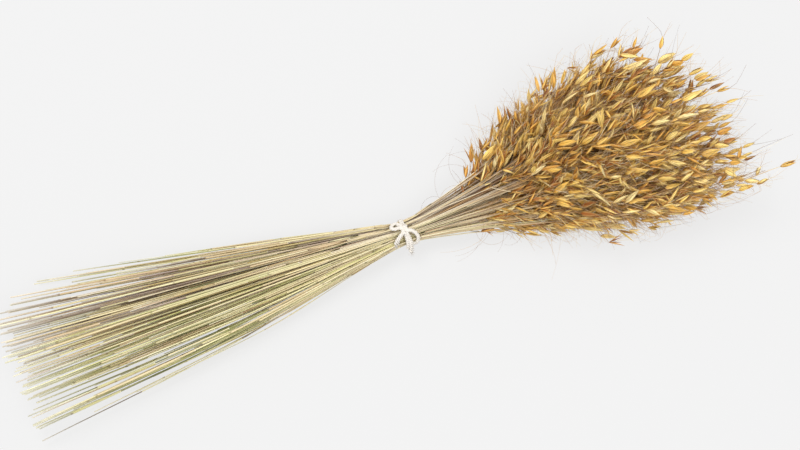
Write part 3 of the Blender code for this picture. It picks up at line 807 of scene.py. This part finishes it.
# The florets' colours: their own brown, darkened further as painted shade of the gaps between the
# husks.
FLORET_COLOURS_AND_SHADE = (
    (0.0, 0.22, 0.070, 0.020), (0.5, 0.50, 0.19, 0.035), (1.0, 0.56, 0.28, 0.060))
SEED_SHADES = ((0.35, 0.72, 0.72, 0.72), (0.65, 1.2, 1.15, 1.05))
TWIG_COLOURS = (
    (0.0, 0.14, 0.070, 0.035), (0.15, 0.32, 0.15, 0.045), (0.35, 0.70, 0.43, 0.12),
    (0.55, 0.46, 0.22, 0.060), (0.70, 0.88, 0.68, 0.33), (0.85, 0.66, 0.50, 0.36),
    (1.0, 0.95, 0.84, 0.58))
TWIG_SHADES = ((0.35, 0.80, 0.80, 0.80), (0.65, 1.15, 1.12, 1.05))
YARN_COLOURS = (
    (0.30, 0.56, 0.50, 0.43), (0.52, 0.76, 0.72, 0.66), (0.8, 0.86, 0.82, 0.77))


def link(tree, source, target):
    tree.links.new(source, target)


def add_node(tree, kind, **settings):
    node = tree.nodes.new(kind)
    for name, value in settings.items():
        setattr(node, name, value)
    return node


def feed(tree, socket, value):
    """Give a socket a number, a colour, or the output of another node."""
    if isinstance(value, (int, float)):
        socket.default_value = value
    elif isinstance(value, tuple):
        socket.default_value = (*value, 1.0)
    else:
        link(tree, value, socket)


def set_inputs(node, values):
    for name, value in values.items():
        node.inputs[name].default_value = value


def maths(tree, operation, *values, clamp=False):
    node = add_node(tree, "ShaderNodeMath", operation=operation, use_clamp=clamp)
    for socket, value in zip(node.inputs, values):
        feed(tree, socket, value)
    return node.outputs[0]


def mix_colour(tree, share, a, b, blend="MIX"):
    node = add_node(tree, "ShaderNodeMix", data_type="RGBA", blend_type=blend)
    for place, value in ((0, share), (6, a), (7, b)):
        feed(tree, node.inputs[place], value)
    return node.outputs[2]


def shaded(tree, colour, shade):
    """The colour times a shade."""
    return mix_colour(tree, 1.0, colour, shade, "MULTIPLY")


def stretch(tree, value, low, high, to_low=0.0, to_high=1.0):
    """The value's place between low and high, as a place between two other numbers."""
    node = add_node(tree, "ShaderNodeMapRange")
    set_inputs(node, {"From Min": low, "From Max": high, "To Min": to_low, "To Max": to_high})
    link(tree, value, node.inputs["Value"])
    return node.outputs[0]


def ramp(tree, value, stops):
    node = add_node(tree, "ShaderNodeValToRGB")
    bar = node.color_ramp
    while len(bar.elements) < len(stops):
        bar.elements.new(0.5)
    for element, (place, *colour) in zip(bar.elements, stops):
        element.position = place
        element.color = (*colour, 1.0)
    link(tree, value, node.inputs[0])
    return node.outputs[0]


def noise(tree, where, scale, detail, roughness=0.5):
    node = add_node(tree, "ShaderNodeTexNoise")
    set_inputs(node, {"Scale": scale, "Detail": detail, "Roughness": roughness})
    link(tree, where, node.inputs["Vector"])
    return node.outputs["Fac"]


def split_vector(tree, vector):
    node = add_node(tree, "ShaderNodeSeparateXYZ")
    link(tree, vector, node.inputs[0])
    return node.outputs


def attribute(tree, name, output="Fac"):
    return add_node(tree, "ShaderNodeAttribute", attribute_name=name).outputs[output]


def new_group(name, inputs, outputs):
    tree = bpy.data.node_groups.new(name, "ShaderNodeTree")
    for title, kind, value in inputs:
        socket = tree.interface.new_socket(title, in_out="INPUT", socket_type=kind)
        if value is not None:
            socket.default_value = value
    for title, kind in outputs:
        tree.interface.new_socket(title, in_out="OUTPUT", socket_type=kind)
    given = add_node(tree, "NodeGroupInput").outputs
    return tree, given, add_node(tree, "NodeGroupOutput").inputs


def fibre_group():
    """Long fine fibres: streaks of light and dark along a strip, and their relief."""
    tree, given, result = new_group(
        "plant fibres",
        (("Place", "NodeSocketVector", None), ("Tone", NUMBER, 0.0), ("Lines", NUMBER, 2.0),
         ("Stretch", NUMBER, 60.0)),
        (("Streaks", NUMBER), ("Blotches", NUMBER), ("Relief", NUMBER)))
    parts = split_vector(tree, given["Place"])
    seed = maths(tree, "MULTIPLY", given["Tone"], 91.7)
    along = maths(tree, "ADD", maths(tree, "MULTIPLY", parts[0], given["Stretch"]), seed)
    drawn_out = add_node(tree, "ShaderNodeCombineXYZ")
    link(tree, along, drawn_out.inputs[0])
    for axis in (1, 2):
        wide = maths(tree, "MULTIPLY", parts[axis], given["Lines"])
        link(tree, wide, drawn_out.inputs[axis])
    fine = noise(tree, drawn_out.outputs[0], 1.0, 3.0, 0.6)
    coarse = noise(tree, drawn_out.outputs[0], 0.28, 2.0)
    link(tree, fine, result["Streaks"])
    link(tree, coarse, result["Blotches"])
    relief = maths(tree, "ADD", maths(tree, "MULTIPLY", fine, 0.8),
                   maths(tree, "MULTIPLY", coarse, 0.4))
    link(tree, relief, result["Relief"])
    return tree


def fading_group():
    """Sun-bleached and dusty patches, in the bunch's own coordinates."""
    tree, given, result = new_group(
        "bleached patches",
        (("Colour", "NodeSocketColor", (0.5, 0.4, 0.2, 1.0)), ("Amount", NUMBER, 0.4)),
        (("Colour", "NodeSocketColor"),))
    where = add_node(tree, "ShaderNodeTexCoord").outputs["Object"]
    patch = stretch(tree, noise(tree, where, 34.0, 4.0), 0.45, 0.72)
    share = maths(tree, "MULTIPLY", patch, given["Amount"])
    pale = mix_colour(tree, share, given["Colour"], (0.80, 0.70, 0.50))
    link(tree, pale, result["Colour"])
    return tree


FIBRES = fibre_group()
FADING = fading_group()


def placed_group(tree, group):
    node = add_node(tree, "ShaderNodeGroup")
    node.node_tree = group
    return node


def new_material(name):
    material = bpy.data.materials.new(name)
    material.use_nodes = True
    tree = material.node_tree
    return material, tree, tree.nodes["Principled BSDF"]


def fibres_in(tree, lines, length):
    """The fibre group's outputs, for a number of fibres across and along a strip."""
    fibres = placed_group(tree, FIBRES)
    link(tree, attribute(tree, "grain", "Vector"), fibres.inputs["Place"])
    link(tree, attribute(tree, "tone"), fibres.inputs["Tone"])
    set_inputs(fibres, {"Lines": lines, "Stretch": length})
    return fibres.outputs


def faded(tree, colour, amount):
    group = placed_group(tree, FADING)
    set_inputs(group, {"Amount": amount})
    link(tree, colour, group.inputs["Colour"])
    return group.outputs["Colour"]


def finish_surface(tree, shader, colour, fibres, bump, low, high):
    """Connect a colour, a roughness that follows the streaks, and a fine relief."""
    link(tree, colour, shader.inputs["Base Color"])
    rough = stretch(tree, fibres["Streaks"], 0.0, 1.0, low, high)
    link(tree, rough, shader.inputs["Roughness"])
    node = add_node(tree, "ShaderNodeBump")
    set_inputs(node, {"Strength": bump, "Distance": RELIEF_DEPTH})
    link(tree, fibres["Relief"], node.inputs["Height"])
    link(tree, node.outputs[0], shader.inputs["Normal"])


def straw_material():
    material, tree, shader = new_material("dry culm")
    run = attribute(tree, "run")
    fibres = fibres_in(tree, 3.0, 45.0)
    blotch = maths(tree, "MULTIPLY", maths(tree, "SUBTRACT", fibres["Blotches"], 0.5), 0.4)
    tone = maths(tree, "ADD", attribute(tree, "tone"), blotch, clamp=True)
    near_tie = stretch(tree, run, 0.30, 0.50)
    head_shade_share = stretch(tree, run, 0.64, 0.76)
    near_cut = maths(tree, "MULTIPLY", stretch(tree, run, 0.10, 0.0), 0.62)
    mark = maths(tree, "MULTIPLY", attribute(tree, "mark"), 0.65)
    colour = ramp(tree, tone, FAN_COLOURS)
    colour = mix_colour(tree, near_tie, colour, ramp(tree, tone, WAIST_COLOURS))
    # Inside the head the culm takes colours darkened as painted shade of the gaps between the
    # spikelets.
    colour = mix_colour(tree, head_shade_share, colour, ramp(tree, tone, HEAD_CULM_COLOURS_AND_SHADE))
    colour = mix_colour(tree, near_cut, colour, (0.84, 0.80, 0.68))
    colour = shaded(tree, colour, stretch(tree, fibres["Streaks"], 0.30, 0.62, 0.62, 1.12))
    colour = mix_colour(tree, mark, colour, (0.20, 0.13, 0.07))
    finish_surface(tree, shader, faded(tree, colour, 0.15), fibres, 0.6, 0.38, 0.62)
    return material


def sheath_material():
    material, tree, shader = new_material("papery sheath")
    fibres = fibres_in(tree, 4.0, 30.0)
    torn = stretch(tree, attribute(tree, "run"), 0.90, 1.0, 0.0, 0.6)
    colour = ramp(tree, attribute(tree, "tone"), SHEATH_COLOURS)
    colour = mix_colour(tree, torn, colour, (0.82, 0.77, 0.64))
    colour = shaded(tree, colour, stretch(tree, fibres["Streaks"], 0.30, 0.65, 0.70, 1.10))
    finish_surface(tree, shader, faded(tree, colour, 0.20), fibres, 0.5, 0.45, 0.70)
    return material


def husk_material():
    material, tree, shader = new_material("golden husk")
    fibres = fibres_in(tree, 5.0, 120.0)
    across = maths(tree, "ABSOLUTE", split_vector(tree, attribute(tree, "grain", "Vector"))[1])
    margin = maths(tree, "MULTIPLY", maths(tree, "POWER", across, 3.0), 0.48)
    colour = ramp(tree, attribute(tree, "tone"), HUSK_COLOURS)
    colour = shaded(tree, colour, ramp(tree, across, KEEL_SHADES))
    colour = mix_colour(tree, margin, colour, (0.92, 0.72, 0.30))
    colour = shaded(tree, colour, ramp(tree, attribute(tree, "run"), HUSK_BASE_SHADES))
    colour = shaded(tree, colour, stretch(tree, fibres["Streaks"], 0.36, 0.60, 0.52, 1.16))
    finish_surface(tree, shader, faded(tree, colour, 0.08), fibres, 0.7, 0.45, 0.72)
    shader.inputs["Specular IOR Level"].default_value = 0.30
    return material


def seed_material():
    material, tree, shader = new_material("brown floret")
    fibres = fibres_in(tree, 3.0, 160.0)
    # The florets' brown is darkened as painted shade of the gaps between the husks.
    colour = ramp(tree, attribute(tree, "tone"), FLORET_COLOURS_AND_SHADE)
    colour = shaded(tree, colour, ramp(tree, fibres["Streaks"], SEED_SHADES))
    finish_surface(tree, shader, colour, fibres, 0.6, 0.45, 0.65)
    return material


def twig_material():
    material, tree, shader = new_material("fine twig")
    fibres = fibres_in(tree, 2.0, 90.0)
    colour = ramp(tree, attribute(tree, "tone"), TWIG_COLOURS)
    colour = shaded(tree, colour, ramp(tree, fibres["Streaks"], TWIG_SHADES))
    finish_surface(tree, shader, faded(tree, colour, 0.12), fibres, 0.3, 0.50, 0.70)
    return material


def yarn_material():
    material, tree, shader = new_material("white yarn")
    fibres = fibres_in(tree, 5.0, 500.0)
    colour = ramp(tree, fibres["Streaks"], YARN_COLOURS)
    finish_surface(tree, shader, faded(tree, colour, 0.10), fibres, 0.8, 0.75, 0.92)
    shader.inputs["Sheen Weight"].default_value = 0.25
    return material


# The tie. Its routes are (mm along, degrees from the top, mm of lift) round the waist.

BAND_TURNS = ((-0.85, 0.55), (0.85, 0.50))      # mm along and mm of lift
KNOT_ROUTES = (
    ((-1.9, -16, 1.0), (-1.5, -9, 2.0), (-0.3, -2, 2.9), (1.1, 6, 2.9), (2.0, 14, 2.0),
     (2.2, 20, 1.0)),
    ((2.1, -15, 1.0), (1.6, -8, 2.1), (0.4, 1, 3.5), (-1.0, 8, 3.2), (-1.9, 15, 2.0),
     (-2.2, 21, 1.0)),
    ((-1.6, 10, 3.0), (-0.2, 12, 3.7), (1.2, 8, 3.4), (1.7, 0, 3.2), (1.3, -9, 3.4),
     (0.0, -12, 3.7), (-1.4, -8, 3.2), (-1.8, 0, 3.0), (-1.6, 10, 3.0)))
LOOP_ROUTES = (
    ((-0.5, 5, 2.9), (-4.2, 14, 3.4), (-8.0, 16, 3.0), (-10.4, 26, 2.6), (-8.8, 37, 2.6),
     (-5.4, 37, 2.8), (-3.4, 27, 3.0), (-0.2, 10, 3.3)),
    ((0.5, -2, 3.1), (4.8, -8, 3.1), (8.3, -24, 2.7), (9.2, -46, 2.2), (5.9, -69, 2.3),
     (2.7, -58, 2.7), (1.2, -30, 2.9), (0.2, -8, 3.3)))
END_ROUTES = (
    ((1.0, -14, 3.3), (1.5, -46, 3.6), (0.9, -66, 4.7), (-0.6, -80, 7.2)),
    ((-0.3, -8, 3.1), (-0.4, -34, 3.3), (-1.0, -54, 3.5), (-1.2, -69, 4.4)),
    ((-0.6, -4, 2.9), (-4.4, -12, 2.7), (-8.6, -26, 2.3), (-11.4, -42, 2.2)))


def round_waist(route):
    """The route's points in the frame."""
    route = np.asarray(route, float)
    radius = WAIST_RADIUS + GAP + route[:, 2] / 1000.0
    turn = np.radians(route[:, 1])
    return np.stack((TIE_X + route[:, 0] / 1000.0, TIE_Y + radius * np.sin(turn),
                     WAIST_LIFT + WAIST_RADIUS + radius * np.cos(turn)), axis=-1)


def yarn_directions(path, closed):
    """At each point of the yarn, the ways out from the stalks and towards its flank."""
    if closed:
        heading = unit(np.roll(path, -1, axis=0) - np.roll(path, 1, axis=0))
    else:
        heading = unit(np.gradient(path, axis=0))
    middle = np.array((0.0, TIE_Y, WAIST_LIFT + WAIST_RADIUS))
    away = square_to(heading, (path - middle) * CROSSWISE)
    return away, np.cross(heading, away)


def spin_yarn(weave, path, size, chance, closed=False, loose=0.0):
    """Plies twisted round each other, flattened towards the stalks."""
    rows = len(path)
    width, thick = size
    away, flank = yarn_directions(path, closed)
    run = way_along(path)
    turns = run / YARN_TWIST
    taper = np.ones(rows)
    if closed:
        turns = run / run[-1] * round(run[-1] / YARN_TWIST) * (rows - 1) / rows
    else:
        taper[[0, -1]] = 0.25
    rim = 2.0 * pi * np.arange(6) / 6
    ring = (flank[:, None] * (np.cos(rim) * width / 2.0)[None, :, None]
            + away[:, None] * (np.sin(rim) * thick / 2.0)[None, :, None])
    ring = ring * (PLY_SIZE * taper)[:, None, None]
    spread = PLY_SPREAD * (1.0 + loose * np.linspace(0.0, 1.0, rows) ** 4)
    for ply in range(PLIES):
        angle = 2.0 * pi * (turns + ply / PLIES)
        centre = (path + flank * (np.cos(angle) * spread * width / 2.0)[:, None]
                  + away * (np.sin(angle) * spread * thick / 2.0)[:, None])
        grid = centre[:, None] + ring
        if closed:
            grid = np.concatenate((grid, grid[:1]))
        weave.add(grid[None], 0, chance.random(1), YARN_CHART)


def fray(weave, place, direction, chance):
    """The loose fibres at an end of the yarn."""
    n = FRAY_FIBRES
    t = np.linspace(0.0, 1.0, 5)[None, :, None]
    spread = unit(direction + chance.normal(0.0, 0.42, (n, 3)))
    bend = chance.normal(0.0, 0.5, (n, 3))
    reach = chance.uniform(0.0018, 0.0046, (n, 1, 1))
    line = (place + chance.normal(0.0, 0.0005, (n, 1, 3))
            + (spread[:, None] * t + bend[:, None] * t * t * 0.4) * reach)
    lift_to(line, LOWEST_FIBRE)
    add_hairs(weave, line, FRAY_RADIUS, 0.6, chance.random(n), FRAY_CHART, slot=0)


def fuzz(weave, path, chance, count):
    """Short fibres that stand off the yarn."""
    pick = chance.integers(0, len(path), count)
    t = np.linspace(0.0, 1.0, 4)[None, :, None]
    lift = unit(chance.normal(0.0, 1.0, (count, 3)))
    bend = chance.normal(0.0, 0.6, (count, 3))
    reach = chance.uniform(0.0012, 0.0026, (count, 1, 1))
    line = path[pick][:, None] + (lift[:, None] * t + bend[:, None] * t * t) * reach
    lift_to(line, LOWEST_FIBRE)
    add_hairs(weave, line, FUZZ_RADIUS, 0.0, chance.random(count), FUZZ_CHART, slot=0)


def spin_band(weave, chance):
    """The band's two turns round the waist."""
    steps = 150
    degrees = 360.0 * np.arange(steps) / steps
    for along, lift in BAND_TURNS:
        sway = 0.18 * np.sin(np.radians(degrees * 2.0 + along * 40.0))
        route = np.stack((along + sway, degrees, lift + 0.0 * degrees), axis=-1)
        ring = round_waist(route)
        spin_yarn(weave, ring, BAND_YARN, chance, closed=True)
        fuzz(weave, ring, chance, BAND_FUZZ)


def make_tie(material):
    """The band, the knot over it, and the bow's loops and loose ends."""
    chance = np.random.default_rng(TIE_SEED)
    weave = Weave()
    spin_band(weave, chance)
    for route in KNOT_ROUTES:
        path = smooth_line(round_waist(route), np.linspace(0.0, 1.0, 36))
        spin_yarn(weave, path, KNOT_YARN, chance)
    for route in LOOP_ROUTES + END_ROUTES:
        knots = round_waist(route)
        count = int(step_lengths(knots).sum() / YARN_STEP)
        path = smooth_line(knots, np.linspace(0.0, 1.0, count))
        free_end = route in END_ROUTES
        spin_yarn(weave, path, BOW_YARN, chance, loose=1.7 if free_end else 0.0)
        fuzz(weave, path, chance, BOW_FUZZ)
        if free_end:
            fray(weave, path[-1], unit(path[-1] - path[-3]), chance)
    return weave.make("yarn_tie", [material])


# The bunch

def with_thin_stalks(lots, chance):
    """The CAD model's stalks, thinner ones beside them and loose ones outside them."""
    thick_ones = [stalk for lot in lots for stalk in lot]
    stalks = list(thick_ones)
    for lot in lots:
        for number in range(THIN_STALKS):
            if number % 2 == 1:
                stalks.append(thin_stalk(lot, chance, -0.5))
            else:
                stalks.append(thin_stalk(thick_ones, chance, 0.1))
    loose = [loose_stalk(stalk, chance) for stalk in thick_ones]
    return stalks + [stalk for stalk in loose if stalk]


def make_grass(piece, members, materials):
    """One piece of the bunch, in place of a few locks."""
    chance = np.random.default_rng(GRASS_SEED + piece)
    weave = Weave()
    lots = [read_lock(name) for name in members]
    stalks = with_thin_stalks(lots, chance)
    all_knots = [grow_culm(weave, stalk, chance) for stalk in stalks]
    grow_heads(weave, stalks, all_knots, chance)
    grow_stray_hairs(weave, [stalk for lot in lots for stalk in lot], chance)
    return weave.make(f"grass_{piece:02d}", materials)


def make_bunch():
    materials = [straw_material(), sheath_material(), husk_material(), seed_material(),
                 twig_material()]
    locks = sorted(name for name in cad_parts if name.startswith("stalks_"))
    for first in range(0, len(locks), LOCKS_IN_PIECE):
        members = locks[first:first + LOCKS_IN_PIECE]
        thing = make_grass(first // LOCKS_IN_PIECE + 1, members, materials)
        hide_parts(*members)
        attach(thing, "root")


def make_floor():
    mesh = bpy.data.meshes.new("floor")
    size = 6.0
    mesh.from_pydata([(-size, -size, 0), (size, -size, 0), (size, size, 0), (-size, size, 0)],
                     [], [(0, 1, 2, 3)])
    floor = place_object("floor", mesh)
    material, _, shader = new_material("pale paper floor")
    set_inputs(shader, {"Base Color": (0.13, 0.13, 0.13, 1.0), "Roughness": 0.9,
                        "Emission Color": (1.0, 1.0, 1.0, 1.0), "Emission Strength": 0.70,
                        "Specular IOR Level": 0.1})
    mesh.materials.append(material)


def make_light():
    world = bpy.data.worlds.new("pale room")
    bpy.context.scene.world = world
    world.use_nodes = True
    sky = world.node_tree.nodes["Background"]
    set_inputs(sky, {"Color": (0.99, 0.99, 1.0, 1.0), "Strength": 0.74})
    for name, place, size, power in (("window", (-0.4, 0.9, 2.3), 1.1, 34.0),
                                     ("lamp", (0.6, -1.1, 2.2), 1.2, 24.0)):
        light = bpy.data.lights.new(name, "AREA")
        light.size = size
        light.energy = power
        thing = place_object(name, light)
        thing.location = place
        thing.rotation_euler = (-Vector(place)).to_track_quat("-Z", "Y").to_euler()


def make_camera():
    """Looks down on the bunch, with its heads up to the right."""
    turn = radians(-21.5)
    tilt = radians(80.0)
    distance = 1.67
    ahead = Vector((-sin(turn), cos(turn), 0.0))
    aim = Vector((TIE_X - 0.0015, TIE_Y + 0.0075, 0.022))
    back = -ahead * cos(tilt) + Vector((0.0, 0.0, 1.0)) * sin(tilt)
    data = bpy.data.cameras.new("camera")
    data.lens = 85.0
    camera = place_object("camera", data)
    camera.location = aim + back * distance
    camera.rotation_euler = (-back).to_track_quat("-Z", "Y").to_euler()
    bpy.context.scene.camera = camera


def main():
    bpy.context.scene.view_settings.view_transform = "Standard"
    make_camera()
    make_bunch()
    tie = make_tie(yarn_material())
    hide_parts("tie")
    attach(tie, "root")
    make_floor()
    make_light()


main()
